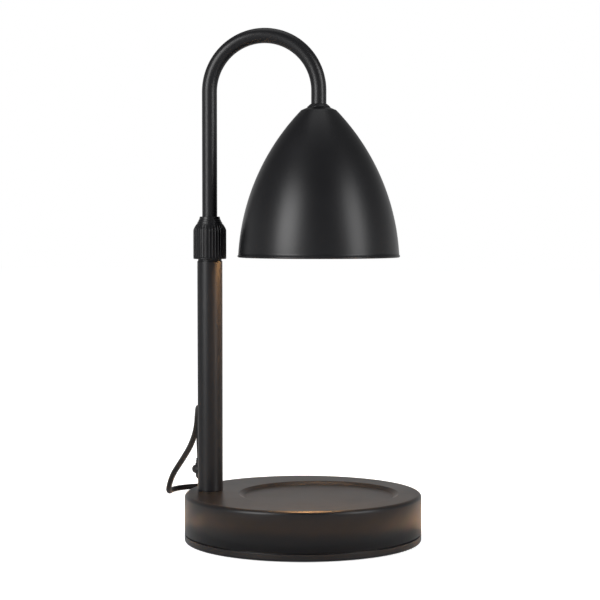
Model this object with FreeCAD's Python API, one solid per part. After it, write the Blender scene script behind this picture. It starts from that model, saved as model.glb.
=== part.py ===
import FreeCAD, Part
import math
import os
from FreeCAD import Vector

# Candle warmer lamp, in millimetres, +Z up.
# The origin is the centre of the round base, on the surface that the lamp stands on.
# The post, the bend of the thin tube and the axis of the shade lie in the XZ plane.

# Base
base_r = 75.0
base_top = 30.9
edge_round = 2.3
foot_round = 1.3
housing_wall = 1.2
housing_corner_r = 1.7
band_top = 5.4
groove_height = 0.8
lip_height = 4.0
lip_wall = 2.0
lip_clearance = 0.2
pad_r = 52.0
pad_thickness = 1.6
pad_proud = 0.8
pad_clearance = 0.2

# Dish in the top of the base, under the shade
head_x = 10.0
dish_r = 50.5
dish_depth = 2.0
dish_slope = 3.4
dish_bend_out = 0.27
dish_bend_down = 0.12
pan_overlap = 1.0

# Ballast, the three screws from below and their bosses
ballast_inset = 7.0
ballast_thickness = 10.2
notch_r = 11.0
screw_count = 3
screw_inset = 15.0
screw_slot = 1.0
screw_r = 2.0
screw_head_r = 3.6
screw_head_height = 2.4
screw_clearance = 0.2
screw_seat = 1.4
screw_bite = 8.0
boss_r = 5.0

# Post
post_inset = 15.0
post_r = 8.0
post_wall = 1.2
post_top = 177.6
stud_plug = 4.8
stud_r = 4.0
stud_clearance = 0.2
foot_washer_r = 9.0
foot_washer_thickness = 1.5
foot_nut_flats = 13.0
foot_nut_height = 6.5
stud_tail = 2.0

# Strain relief on the back of the post
gland_angle = 138.5
gland_offset = 10.95
gland_z = 39.4
gland_stub_r = 2.6
gland_barb_r = 3.3
gland_barb_depth = 0.9
gland_barb_seat = 5.8
gland_ball_r = 2.9
gland_ring_r = 3.6
gland_ring_z = 43.3
gland_ring_height = 5.4
gland_neck_r = 3.0
gland_tip_r = 2.5
gland_top = 50.4

# Threaded seat, split ring and lock collar at the top of the post
seat_depth = 16.8
seat_bore_clearance = 0.2
seat_flange_r = 7.5
seat_flange_height = 1.0
seat_thread_r = 7.2
seat_thread_height = 13.4
pocket_r = 6.0
pocket_depth = 22.0
collet_wall_clearance = 0.05
collet_above_seat = 6.0
collet_taper = 4.0
collet_tip_r = 5.2
collet_split = 1.0
collar_gap = 0.2
collar_r = 10.5
collar_chamfer = 0.5
collar_straight = 18.6
collar_cone = 8.3
collar_tip_r = 6.5
collar_thread_clearance = 0.08
collar_throat_clearance = 0.2
collar_top_wall = 6.2
collar_tip_clearance = 0.4
flute_count = 32
flute_r = 0.75
flute_out = 0.25
flute_foot = 1.2
flute_bite = 1.6

# Thin tube with the half-round bend, the bush that it turns in and its clips
tube_r = 4.8
tube_wall = 0.8
tube_foot = 108.0
bend_z = 284.5
tube_end = 263.5
bush_z = 112.0
bush_length = 10.0
running_clearance = 0.05
clip_thickness = 1.1
clip_width = 1.1
clip_gap = 0.1

# Leads inside the post and the thin tube
lead_r = 1.6
lead_below_tube = 1.0
post_lead_sway = 3.0
post_lead_lean = 0.9
post_lead_rise = 12.0
post_lead_drop = 8.0
post_lead_straight = 9.0
post_lead_bends = 5

# Shade
shade_top = 274.0
shade_rim_z = 180.5
shade_rim_r = 50.75
shade_flat_r = 7.4
shade_corner_r = 11.1
shade_corner_drop = 1.7
shade_arc_r = 142.15
shade_wall = 1.0
shade_hole_clearance = 0.05
ferrule_r = 7.3
ferrule_height = 2.2
ferrule_tip_r = 5.3
ferrule_sweep = 0.7
ferrule_sweep_height = 0.8

# Hanging of the lamp holder
shade_washer_r = 7.0
shade_washer_thickness = 1.0
tube_nut_flats = 14.0
tube_nut_height = 3.5
bracket_half_length = 12.0
bracket_half_width = 5.0
bracket_sheet = 1.0
bracket_drop = 10.0
bracket_foot = 6.4
bracket_hole_clearance = 0.1
holder_screw_x = 8.3
holder_screw_r = 1.5
holder_screw_head_r = 2.6
holder_screw_head_height = 1.8
holder_screw_bite = 7.5

# Lamp holder for a bulb with two pins and a twist lock
holder_r = 13.5
holder_height = 22.0
pin_offset = 5.0
pin_neck_r = 1.5
pin_head_r = 2.5
pin_neck_length = 4.2
pin_head_length = 2.5
pin_clearance = 0.25
twist_angle = 30.0
chamber_height = 5.4
contact_drop = 2.2
contact_half_width = 1.5

# Bulb
bulb_gap = 0.3
bulb_base_r = 12.5
bulb_base_height = 12.2
bulb_neck_r = 13.4
reflector_r = 24.8
reflector_height = 32.5
reflector_bulge = 3.6
reflector_wall = 1.2
lens_thickness = 1.5
capsule_r = 4.2
capsule_length = 22.0
capsule_clearance = 0.4

# Lead on the floor behind the base
cord_r = 2.0
floor_gap = 0.05
lay_y = 94.0
dimmer_x = -32.0
dimmer_length = 52.0
dimmer_width = 25.0
dimmer_height = 15.0
dimmer_split = 7.5
dimmer_wall = 1.6
dimmer_round = 3.0
dimmer_axis_z = 5.0
nozzle_length = 4.0
nozzle_r = 3.4
nozzle_tip_wall = 0.8
wheel_r = 13.7
wheel_thickness = 4.0
wheel_z = 7.0
wheel_groove_count = 36
wheel_groove_r = 0.45
wheel_groove_out = 0.15
wheel_clearance = 0.4
pot_r = 5.0
pot_height = 2.0
pot_shaft_r = 2.5
pot_shaft_proud = 1.0
board_half_length = 17.0
board_half_width = 9.0
board_z = 3.0
board_thickness = 1.6
pillar_r = 1.6
pillar_x = 14.0
case_screw_x = 20.5
case_screw_r = 1.2
case_screw_head_r = 2.2
case_screw_head_height = 0.7
case_screw_length = 7.2
case_screw_clearance = 0.1
case_boss_r = 2.6

# Coil of the lead that is put away, and its tie
coil_x = 24.0
coil_mid_r = 23.5
coil_layer_turns = 3.25
coil_gap = 0.55
tie_thickness = 0.8
tie_width = 8.0
tie_clearance = 0.15

# Plug
plug_lead = 24.0
relief_length = 16.0
relief_tip_r = 2.9
relief_root_r = 4.4
plug_length = 24.0
plug_half_width = 11.0
plug_half_height = 7.1
plug_round = 3.0
blade_length = 16.0
blade_half_height = 3.2
blade_thickness = 1.5
blade_spacing = 12.7

# Sizes that follow from the others
post_x = post_inset - base_r
ballast_r = base_r - ballast_inset
screw_circle_r = base_r - screw_inset
post_bore_r = post_r - post_wall
housing_bottom = band_top + groove_height
top_underside = base_top - housing_wall
pan_underside = base_top - dish_depth - housing_wall
ballast_bottom = pan_underside - ballast_thickness
seat_top = post_top + seat_flange_height + seat_thread_height
pocket_bottom = seat_top - pocket_depth
collar_bottom = post_top + seat_flange_height + collar_gap
collar_top = collar_bottom + collar_straight + collar_cone
bush_r = post_bore_r - running_clearance
bush_bore_r = tube_r + running_clearance
bend_x = (post_x + head_x) / 2
bend_r = (head_x - post_x) / 2
shade_underside = shade_top - shade_wall
nut_top = shade_underside - shade_washer_thickness
bracket_top = nut_top - tube_nut_height
bracket_bottom = bracket_top - bracket_drop
holder_bottom = bracket_bottom - holder_height
bulb_top = holder_bottom - bulb_gap
reflector_top = bulb_top - bulb_base_height
reflector_bottom = reflector_top - reflector_height
cord_low = cord_r + floor_gap
coil_pitch = 2 * cord_r + coil_gap
coil_low = cord_r + tie_thickness + tie_clearance + floor_gap
coil_high = coil_low + coil_pitch
coil_in_r = coil_mid_r - coil_layer_turns * coil_pitch / 2
coil_out_r = coil_mid_r + coil_layer_turns * coil_pitch / 2
coil_y = lay_y + coil_out_r
dimmer_left = dimmer_x - dimmer_length / 2
dimmer_right = dimmer_x + dimmer_length / 2

# Route of the lead from the strain relief to the dimmer, chosen by hand
gland_x = post_x + gland_offset * math.cos(math.radians(gland_angle))
gland_y = gland_offset * math.sin(math.radians(gland_angle))
lamp_cord_route = [
    (gland_x, gland_y, gland_top),
    (gland_x, gland_y, 66.5),
    (-69.8, 16.8, 80.0),
    (-73.4, 32.1, 84.0),
    (-77.0, 49.4, 76.2),
    (-80.9, 66.6, 61.2),
    (-89.7, 91.4, 46.2),
    (-101.0, 117.2, 31.6),
    (-113.6, 141.6, 17.2),
    (-127.4, 164.6, cord_low),
    (-127.8, 186.6, cord_low),
    (-112.0, 201.6, cord_low),
    (-90.0, 200.4, cord_low),
    (-74.4, 183.8, cord_low),
    (-72.6, 160.4, cord_low),
    (-82.5, 142.6, cord_low),
    (-93.3, 127.0, cord_low),
    (-93.3, 112.6, cord_low),
    (-86.3, 100.5, 3.4),
    (-75.0, lay_y, dimmer_axis_z),
    (dimmer_left - nozzle_length, lay_y, dimmer_axis_z),
]


# Shapes that several pieces share

def outline(start, *steps):
    """A closed face in the XZ half plane. A step is a point, or a pair: a point on an arc and its end."""
    here = Vector(start[0], 0, start[1])
    first = here
    edges = []
    for step in steps:
        if isinstance(step[0], tuple):
            middle = Vector(step[0][0], 0, step[0][1])
            end = Vector(step[1][0], 0, step[1][1])
            edges.append(Part.Arc(here, middle, end).toShape())
        else:
            end = Vector(step[0], 0, step[1])
            edges.append(Part.LineSegment(here, end).toShape())
        here = end
    edges.append(Part.LineSegment(here, first).toShape())
    return Part.Face(Part.Wire(edges))


def turned(face, x=0.0, y=0.0):
    solid = face.revolve(Vector(0, 0, 0), Vector(0, 0, 1), 360)
    solid.translate(Vector(x, y, 0))
    return solid


def rod(r, bottom, top, x=0.0, y=0.0):
    return Part.makeCylinder(r, top - bottom, Vector(x, y, bottom))


def ring(outer_r, inner_r, bottom, top, x=0.0, y=0.0):
    return rod(outer_r, bottom, top, x, y).cut(rod(inner_r, bottom, top, x, y))


def block(low, high):
    size = [b - a for a, b in zip(low, high)]
    return Part.makeBox(size[0], size[1], size[2], Vector(*low))


def hexagon(flats, bottom, top, x=0.0, y=0.0):
    corner = flats / math.sqrt(3)
    points = []
    for k in range(7):
        turn = math.radians(60 * k)
        points.append(Vector(x + corner * math.cos(turn), y + corner * math.sin(turn), bottom))
    return Part.Face(Part.makePolygon(points)).extrude(Vector(0, 0, top - bottom))


def around(count, radius, start=0.0):
    """Evenly spaced places on a circle about the origin."""
    turns = [math.radians(start + 360.0 * k / count) for k in range(count)]
    return [(radius * math.cos(t), radius * math.sin(t)) for t in turns]


def save(name, *solids):
    shape = solids[0] if len(solids) == 1 else Part.makeCompound(list(solids))
    shape.exportStep("parts/" + name + ".step")
    print(name, len(shape.Solids), "solid(s)", round(shape.Volume, 1), "mm3", shape.isValid())


# Paths of round leads

def arc_edge(start, direction, end):
    """The arc from start to end that leaves start along a direction."""
    chord = end - start
    along = chord.normalize()
    length = (end - start).Length
    sideways = direction - along * direction.dot(along)
    if sideways.Length < 1e-6:
        return Part.LineSegment(start, end).toShape()
    half_turn = math.acos(max(-1.0, min(1.0, direction.dot(along))))
    rise = length / 2 * math.tan(half_turn / 2)
    middle = (start + end) * 0.5 + sideways.normalize() * rise
    return Part.Arc(start, middle, end).toShape()


def biarc(start, start_way, end, end_way):
    """Two arcs that meet smoothly, from one point and direction to another."""
    across = end - start
    ways = start_way + end_way
    k = 2 * (1 - start_way.dot(end_way))
    b = across.dot(ways)
    reach = across.dot(across) / (2 * b)
    if k > 1e-9:
        reach = (math.sqrt(b * b + k * across.dot(across)) - b) / k
    joint = (start + start_way * reach + end - end_way * reach) * 0.5
    joint_way = (end - end_way * reach - start - start_way * reach).normalize()
    return [arc_edge(start, start_way, joint), arc_edge(joint, joint_way, end)]


def tube_on(edges, r):
    """A round tube along a smooth path of edges."""
    spine = Part.Wire(edges)
    start = edges[0].valueAt(edges[0].FirstParameter)
    way = edges[0].tangentAt(edges[0].FirstParameter)
    section = Part.Wire([Part.makeCircle(r, start, way)])
    return spine.makePipeShell([section], True)


def runs_and_arcs(points):
    """Straight runs joined by arcs that touch them; each arc is as large as its two runs allow."""
    points = [Vector(*p) for p in points]
    edges = []
    radii = []
    here = points[0]
    for before, corner, after in zip(points, points[1:], points[2:]):
        run_in = corner - before
        run_out = after - corner
        shorter = min(run_in.Length, run_out.Length)
        way_in = run_in.normalize()
        way_out = run_out.normalize()
        turn = math.acos(max(-1.0, min(1.0, way_in.dot(way_out))))
        cut = 0.45 * shorter
        radii.append(cut / math.tan(turn / 2))
        arc_start = corner - way_in * cut
        arc_end = corner + way_out * cut
        edges.append(Part.LineSegment(here, arc_start).toShape())
        edges.append(arc_edge(arc_start, way_in, arc_end))
        here = arc_end
    edges.append(Part.LineSegment(here, points[-1]).toShape())
    return edges, radii


def lead_tube(name, points, r):
    edges, radii = runs_and_arcs(points)
    solid = tube_on(edges, r)
    length = sum(edge.Length for edge in edges)
    expected = math.pi * r * r * length
    print(name, "length", round(length, 1), "arc radii", [round(x, 1) for x in radii])
    print(name, "volume", round(solid.Volume, 1), "section times length", round(expected, 1))
    return solid


# Base

def dish_cut():
    floor_z = base_top - dish_depth
    floor_r = dish_r - dish_slope
    half_r = dish_r - dish_slope / 2
    half_z = base_top - dish_depth / 2
    bend_out = dish_bend_out * dish_slope
    bend_down = dish_bend_down * dish_depth
    face = outline(
        (0, floor_z),
        (floor_r, floor_z),
        ((floor_r + bend_out, floor_z + bend_down), (half_r, half_z)),
        ((dish_r - bend_out, base_top - bend_down), (dish_r, base_top)),
        (dish_r, base_top + 1),
        (0, base_top + 1),
    )
    return turned(face, head_x)


def base_housing():
    corner = edge_round * (1 - math.sqrt(0.5))
    inner_r = base_r - housing_wall
    outside = outline(
        (0, housing_bottom),
        (base_r, housing_bottom),
        (base_r, base_top - edge_round),
        ((base_r - corner, base_top - corner), (base_r - edge_round, base_top)),
        (0, base_top),
    )
    inner_corner = housing_corner_r * (1 - math.sqrt(0.5))
    inside = outline(
        (0, housing_bottom - 1),
        (inner_r, housing_bottom - 1),
        (inner_r, top_underside - housing_corner_r),
        ((inner_r - inner_corner, top_underside - inner_corner), (inner_r - housing_corner_r, top_underside)),
        (0, top_underside),
    )
    shell = turned(outside).cut(turned(inside))
    pan = rod(dish_r + pan_overlap, pan_underside, top_underside, head_x)
    shell = shell.fuse(pan).cut(dish_cut())
    hole = rod(stud_r + stud_clearance, top_underside - 1, base_top + 1, post_x)
    return shell.cut(hole).removeSplitter()


def ballast_disc():
    disc = rod(ballast_r, ballast_bottom, pan_underside)
    disc = disc.cut(rod(notch_r, ballast_bottom - 1, pan_underside + 1, post_x))
    for x, y in around(screw_count, screw_circle_r):
        disc = disc.cut(rod(screw_r, ballast_bottom - 1, ballast_bottom + screw_bite, x, y))
    return disc


def bottom_plate():
    corner = foot_round * (1 - math.sqrt(0.5))
    lip_r = base_r - housing_wall - lip_clearance
    face = outline(
        (0, pad_thickness),
        (pad_r + pad_clearance, pad_thickness),
        (pad_r + pad_clearance, pad_proud),
        (base_r - foot_round, pad_proud),
        ((base_r - corner, pad_proud + corner), (base_r, pad_proud + foot_round)),
        (base_r, band_top),
        (lip_r, band_top),
        (lip_r, band_top + lip_height),
        (lip_r - lip_wall, band_top + lip_height),
        (lip_r - lip_wall, band_top),
        (0, band_top),
    )
    plate = turned(face)
    seat_z = band_top - screw_seat
    for x, y in around(screw_count, screw_circle_r):
        plate = plate.fuse(rod(boss_r, band_top, ballast_bottom, x, y))
        plate = plate.cut(rod(screw_r + screw_clearance, 0, ballast_bottom + 1, x, y))
        plate = plate.cut(rod(screw_head_r + screw_clearance, 0, seat_z, x, y))
    return plate.removeSplitter()


def plate_screws():
    seat_z = band_top - screw_seat
    screws = []
    for x, y in around(screw_count, screw_circle_r):
        shank = rod(screw_r, seat_z, ballast_bottom + screw_bite, x, y)
        head = rod(screw_head_r, seat_z - screw_head_height, seat_z, x, y)
        slot = block((x - screw_slot / 2, y - screw_head_r, seat_z - screw_head_height),
                     (x + screw_slot / 2, y + screw_head_r, seat_z - screw_head_height / 2))
        screws.append(shank.fuse(head).cut(slot))
    return screws


# Post and its foot

def gland_place(distance):
    turn = math.radians(gland_angle)
    return post_x + distance * math.cos(turn), distance * math.sin(turn)


def along_gland(r, near, far):
    """A rod across the post, along the direction of the strain relief."""
    x, y = gland_place(near)
    turn = math.radians(gland_angle)
    return Part.makeCylinder(r, far - near, Vector(x, y, gland_z), Vector(math.cos(turn), math.sin(turn), 0))


def post_tube():
    tube = ring(post_r, post_bore_r, base_top, post_top, post_x)
    return tube.cut(along_gland(gland_stub_r, 0, gland_offset))


def post_stud():
    plug = rod(post_bore_r, base_top, base_top + stud_plug, post_x)
    shank = rod(stud_r, nut_bottom() - stud_tail, base_top, post_x)
    return plug.fuse(shank)


def nut_bottom():
    return top_underside - foot_washer_thickness - foot_nut_height


def foot_washer():
    bottom = top_underside - foot_washer_thickness
    return ring(foot_washer_r, stud_r + stud_clearance, bottom, top_underside, post_x)


def foot_nut():
    top = top_underside - foot_washer_thickness
    nut = hexagon(foot_nut_flats, nut_bottom(), top, post_x)
    return nut.cut(rod(stud_r, nut_bottom(), top, post_x))


def cord_gland():
    ring_low = gland_ring_z - gland_ring_height / 2
    ring_high = gland_ring_z + gland_ring_height / 2
    bulge = gland_ring_r - gland_ball_r
    boot = outline(
        (0, gland_z - gland_ball_r),
        ((gland_ball_r * math.sqrt(0.5), gland_z - gland_ball_r * math.sqrt(0.5)), (gland_ball_r, gland_z)),
        (gland_ball_r, ring_low),
        ((gland_ring_r, gland_ring_z), (gland_ball_r, ring_high)),
        (gland_neck_r, ring_high + bulge),
        (gland_tip_r, gland_top),
        (0, gland_top),
    )
    x, y = gland_place(gland_offset)
    body = turned(boot, x, y)
    shoulder = along_gland(gland_ball_r, post_bore_r, gland_offset)
    body = body.fuse(shoulder).cut(rod(post_r, 0, post_top, post_x))
    stub = along_gland(gland_stub_r, gland_barb_seat - gland_barb_depth, gland_offset)
    barb = along_gland(gland_barb_r, gland_barb_seat - gland_barb_depth, gland_barb_seat)
    return body.fuse(stub).fuse(barb).removeSplitter()


def post_lead():
    """The slack lead in the post: it sways from side to side, and straightens as the tube is drawn out."""
    start = gland_barb_seat - gland_barb_depth
    x, y = gland_place(start)
    inner_x, inner_y = gland_place(-post_lead_sway)
    top = tube_foot - lead_below_tube
    low = gland_z + post_lead_rise
    rise = (top - post_lead_drop - low) / post_lead_bends
    points = [(x, y, gland_z), (inner_x, inner_y, gland_z)]
    for k in range(post_lead_bends):
        side = 1 if k % 2 else -1
        points.append((post_x + side * post_lead_sway, side * post_lead_lean, low + k * rise))
    points.append((post_x, 0, top - post_lead_straight))
    points.append((post_x, 0, top))
    return lead_tube("post_lead", points, lead_r)


# Lock at the top of the post

def collar_seat():
    bore = tube_r + seat_bore_clearance
    face = outline(
        (bore, post_top - seat_depth),
        (post_bore_r, post_top - seat_depth),
        (post_bore_r, post_top),
        (seat_flange_r, post_top),
        (seat_flange_r, post_top + seat_flange_height),
        (seat_thread_r, post_top + seat_flange_height),
        (seat_thread_r, seat_top),
        (pocket_r, seat_top),
        (pocket_r, pocket_bottom),
        (bore, pocket_bottom),
    )
    return turned(face, post_x)


def collet():
    outer = pocket_r - collet_wall_clearance
    shoulder = seat_top + collet_above_seat - collet_taper
    face = outline(
        (bush_bore_r, pocket_bottom),
        (outer, pocket_bottom),
        (outer, shoulder),
        (collet_tip_r, shoulder + collet_taper),
        (bush_bore_r, shoulder + collet_taper),
    )
    split = block((post_x, -collet_split / 2, 0), (post_x + collar_r, collet_split / 2, collar_top))
    return turned(face, post_x).cut(split)


def lock_collar():
    thread_r = seat_thread_r + collar_thread_clearance
    throat_r = pocket_r + collar_throat_clearance
    shoulder = collar_bottom + collar_straight
    thread_top = seat_top + collar_gap
    hole_r = tube_r + seat_bore_clearance
    throat_top = collar_top - collar_top_wall
    face = outline(
        (thread_r, collar_bottom),
        (collar_r - collar_chamfer, collar_bottom),
        (collar_r, collar_bottom + collar_chamfer),
        (collar_r, shoulder),
        (collar_tip_r, collar_top),
        (hole_r, collar_top),
        (hole_r, throat_top),
        (collet_tip_r + collar_tip_clearance, throat_top),
        (throat_r, throat_top - collet_taper),
        (throat_r, thread_top),
        (thread_r, thread_top),
    )
    collar = turned(face)
    flutes = []
    for x, y in around(flute_count, collar_r + flute_out):
        flutes.append(rod(flute_r, collar_bottom + flute_foot, shoulder + flute_bite, x, y))
    collar = collar.cut(flutes)
    collar.translate(Vector(post_x, 0, 0))
    return collar


# Thin tube

def bend_path():
    """The centre line of the thin tube, from the post up, over the bend and down to the shade."""
    left = Vector(post_x, 0, bend_z)
    crown = Vector(bend_x, 0, bend_z + bend_r)
    right = Vector(head_x, 0, bend_z)
    return left, Part.Arc(left, crown, right).toShape(), right


def bent_rod(r, bottom, end):
    left, bend, right = bend_path()
    up = Part.LineSegment(Vector(post_x, 0, bottom), left).toShape()
    down = Part.LineSegment(right, Vector(head_x, 0, end)).toShape()
    return tube_on([up, bend, down], r)


def arm_tube():
    return bent_rod(tube_r, tube_foot, tube_end).cut(bent_rod(tube_r - tube_wall, tube_foot, tube_end))


def arm_lead():
    return bent_rod(lead_r, tube_foot - lead_below_tube, bracket_bottom)


def guide_bush():
    return ring(bush_r, bush_bore_r, bush_z, bush_z + bush_length, post_x)


def bush_clips():
    clips = []
    for bottom in (bush_z - clip_gap - clip_thickness, bush_z + bush_length + clip_gap):
        clips.append(ring(tube_r + clip_width, tube_r, bottom, bottom + clip_thickness, post_x))
    return clips


# Shade and what hangs the lamp holder

def shade_arc(inset):
    """Start, middle and end of the shade's side, drawn in by an inset, and the centre's place."""
    top = Vector(shade_corner_r, shade_top - shade_corner_drop, 0)
    rim = Vector(shade_rim_r, shade_rim_z, 0)
    chord = rim - top
    half = chord.Length / 2
    way = Vector(-chord.y, chord.x, 0).normalize()
    centre = (top + rim) * 0.5 - way * math.sqrt(shade_arc_r ** 2 - half ** 2)
    r = shade_arc_r - inset
    start_turn = math.atan2(top.y - centre.y, top.x - centre.x)
    end_turn = math.atan2(rim.y - centre.y, rim.x - centre.x)
    places = []
    for turn in (start_turn, (start_turn + end_turn) / 2, end_turn):
        places.append((centre.x + r * math.cos(turn), centre.y + r * math.sin(turn)))
    return places


def shade_shell():
    top, middle, rim = shade_arc(0)
    in_top, in_middle, in_rim = shade_arc(shade_wall)
    rim_bottom = ((rim[0] + in_rim[0]) / 2, shade_rim_z - shade_wall / 2)
    hole = tube_r + shade_hole_clearance
    face = outline(
        (hole, shade_top),
        (shade_flat_r, shade_top),
        top,
        (middle, rim),
        (rim_bottom, in_rim),
        (in_middle, in_top),
        (shade_flat_r - shade_wall / 4, shade_underside),
        (hole, shade_underside),
    )
    return turned(face, head_x)


def shade_ferrule():
    face = outline(
        (tube_r, shade_top),
        (ferrule_r, shade_top),
        ((ferrule_tip_r + ferrule_sweep, shade_top + ferrule_sweep_height),
         (ferrule_tip_r, shade_top + ferrule_height)),
        (tube_r, shade_top + ferrule_height),
    )
    return turned(face, head_x)


def shade_washer():
    return ring(shade_washer_r, tube_r + shade_hole_clearance, nut_top, shade_underside, head_x)


def tube_nut(top):
    nut = hexagon(tube_nut_flats, top - tube_nut_height, top, head_x)
    return nut.cut(rod(tube_r, top - tube_nut_height, top, head_x))


def holder_bracket():
    low = bracket_bottom
    plate = block((-bracket_half_length, -bracket_half_width, bracket_top - bracket_sheet),
                  (bracket_half_length, bracket_half_width, bracket_top))
    hole_r = tube_r + bracket_hole_clearance
    for side in (-1, 1):
        outer = side * bracket_half_length
        inner = outer - side * bracket_sheet
        tip = outer - side * bracket_foot
        leg = block((min(outer, inner), -bracket_half_width, low),
                    (max(outer, inner), bracket_half_width, bracket_top))
        foot = block((min(outer, tip), -bracket_half_width, low),
                     (max(outer, tip), bracket_half_width, low + bracket_sheet))
        plate = plate.fuse(leg).fuse(foot)
        plate = plate.cut(rod(holder_screw_r + bracket_hole_clearance, low, low + bracket_sheet,
                              side * holder_screw_x))
    plate = plate.cut(rod(hole_r, bracket_top - bracket_sheet, bracket_top))
    plate = plate.removeSplitter()
    plate.translate(Vector(head_x, 0, 0))
    return plate


def holder_screws():
    screws = []
    seat_z = bracket_bottom + bracket_sheet
    for side in (-1, 1):
        x = head_x + side * holder_screw_x
        shank = rod(holder_screw_r, bracket_bottom - holder_screw_bite, seat_z, x)
        head = rod(holder_screw_head_r, seat_z, seat_z + holder_screw_head_height, x)
        screws.append(shank.fuse(head))
    return screws


# Lamp holder and bulb

def swept_slot(half_width, bottom, top, side):
    """The space that a pin sweeps as the bulb turns from its locked place to its free one."""
    start = 0 if side > 0 else 180
    low = Vector(pin_offset - half_width, 0, bottom)
    corners = [low, low + Vector(2 * half_width, 0, 0), low + Vector(2 * half_width, 0, top - bottom),
               low + Vector(0, 0, top - bottom), low]
    face = Part.Face(Part.makePolygon(corners))
    sector = face.revolve(Vector(0, 0, 0), Vector(0, 0, 1), twist_angle)
    turn = math.radians(twist_angle)
    end_x = pin_offset * math.cos(turn)
    end_y = pin_offset * math.sin(turn)
    sector = sector.fuse(rod(half_width, bottom, top, pin_offset))
    sector = sector.fuse(rod(half_width, bottom, top, end_x, end_y))
    sector.rotate(Vector(0, 0, 0), Vector(0, 0, 1), start)
    return sector


def holder_body():
    neck = pin_neck_r + pin_clearance
    head = pin_head_r + pin_clearance
    shelf = bulb_top + pin_neck_length - pin_clearance
    body = rod(holder_r, holder_bottom, bracket_bottom)
    turn = math.radians(twist_angle)
    for side in (-1, 1):
        body = body.cut(swept_slot(neck, holder_bottom - 1, shelf, side))
        body = body.cut(swept_slot(head, shelf, shelf + chamber_height, side))
        x = side * pin_offset * math.cos(turn)
        y = side * pin_offset * math.sin(turn)
        body = body.cut(rod(head, holder_bottom - 1, shelf, x, y))
        body = body.cut(rod(holder_screw_r, bracket_bottom - holder_screw_bite, bracket_bottom,
                            side * holder_screw_x))
    body.translate(Vector(head_x, 0, 0))
    return body


def holder_contacts():
    top = bulb_top + pin_neck_length - pin_clearance + chamber_height
    contacts = []
    for side in (-1, 1):
        x = head_x + side * pin_offset
        contacts.append(block((x - contact_half_width, -contact_half_width, top - contact_drop),
                              (x + contact_half_width, contact_half_width, top)))
    return contacts


def bulb_pins():
    pins = []
    for side in (-1, 1):
        x = head_x + side * pin_offset
        neck_top = bulb_top + pin_neck_length
        neck = rod(pin_neck_r, bulb_top, neck_top, x)
        pins.append(neck.fuse(rod(pin_head_r, neck_top, neck_top + pin_head_length, x)))
    return pins


def bulb_base():
    face = outline(
        (0, reflector_top),
        (bulb_neck_r, reflector_top),
        (bulb_base_r, reflector_top + bulb_base_height / 2),
        (bulb_base_r, bulb_top),
        (0, bulb_top),
    )
    return turned(face, head_x)


def bulb_reflector():
    middle_r = (bulb_neck_r + reflector_r) / 2 + reflector_bulge
    middle_z = (reflector_top + reflector_bottom) / 2
    hole = capsule_r + capsule_clearance
    wall = reflector_wall
    face = outline(
        (hole, reflector_top),
        (bulb_neck_r, reflector_top),
        ((middle_r, middle_z), (reflector_r, reflector_bottom)),
        (reflector_r - wall, reflector_bottom),
        ((middle_r - wall, middle_z), (bulb_neck_r - wall, reflector_top - wall)),
        (hole, reflector_top - wall),
    )
    return turned(face, head_x)


def bulb_lens():
    return rod(reflector_r, reflector_bottom - lens_thickness, reflector_bottom, head_x)


def bulb_capsule():
    bottom = reflector_top - capsule_length
    side = capsule_r * math.sqrt(0.5)
    face = outline(
        (0, bottom),
        ((side, bottom + capsule_r - side), (capsule_r, bottom + capsule_r)),
        (capsule_r, reflector_top),
        (0, reflector_top),
    )
    return turned(face, head_x)


# In-line dimmer

def dimmer_block(bottom, top, inset=0.0):
    """A bar with round upright corners, the outline of the dimmer's case."""
    low = (dimmer_left + inset, lay_y - dimmer_width / 2 + inset, bottom)
    high = (dimmer_right - inset, lay_y + dimmer_width / 2 - inset, top)
    bar = block(low, high)
    upright = [e for e in bar.Edges if abs(e.tangentAt(e.FirstParameter).z) > 0.9]
    return bar.makeFillet(dimmer_round - inset / 2, upright)


def wheel_space():
    top = wheel_z + wheel_thickness + wheel_clearance
    return rod(wheel_r + wheel_clearance, wheel_z - wheel_clearance, top, dimmer_x, lay_y)


def case_screw_places():
    return [(dimmer_x - case_screw_x, lay_y), (dimmer_x + case_screw_x, lay_y)]


def nozzle(end_x, way):
    place = Vector(end_x, lay_y, dimmer_axis_z)
    return Part.makeCone(nozzle_r, cord_r + nozzle_tip_wall, nozzle_length, place, Vector(way, 0, 0))


def dimmer_case_base():
    bottom = floor_gap
    floor_z = bottom + dimmer_wall
    case = dimmer_block(bottom, dimmer_split).cut(dimmer_block(floor_z, dimmer_split, dimmer_wall))
    for side in (-1, 1):
        case = case.fuse(rod(pillar_r, floor_z, board_z, dimmer_x + side * pillar_x, lay_y))
    case = case.cut(wheel_space())
    for x, y in case_screw_places():
        case = case.cut(rod(case_screw_r + case_screw_clearance, 0, floor_z, x, y))
        case = case.cut(rod(case_screw_head_r + screw_clearance, 0, floor_z - case_screw_head_height, x, y))
    return case.fuse(nozzle(dimmer_left, -1)).fuse(nozzle(dimmer_right, 1)).removeSplitter()


def dimmer_case_top():
    shell = dimmer_block(dimmer_split, dimmer_height)
    rim = [e for e in shell.Edges if min(v.Z for v in e.Vertexes) > dimmer_height - 0.01]
    shell = shell.makeFillet(dimmer_round / 2, rim)
    shell = shell.cut(dimmer_block(dimmer_split, dimmer_height - dimmer_wall, dimmer_wall))
    for x, y in case_screw_places():
        boss = rod(case_boss_r, floor_gap + dimmer_wall, dimmer_height - dimmer_wall / 2, x, y)
        hole = rod(case_screw_r, 0, floor_gap + dimmer_wall + case_screw_length, x, y)
        shell = shell.fuse(boss).cut(hole)
    return shell.cut(wheel_space()).removeSplitter()


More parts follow.
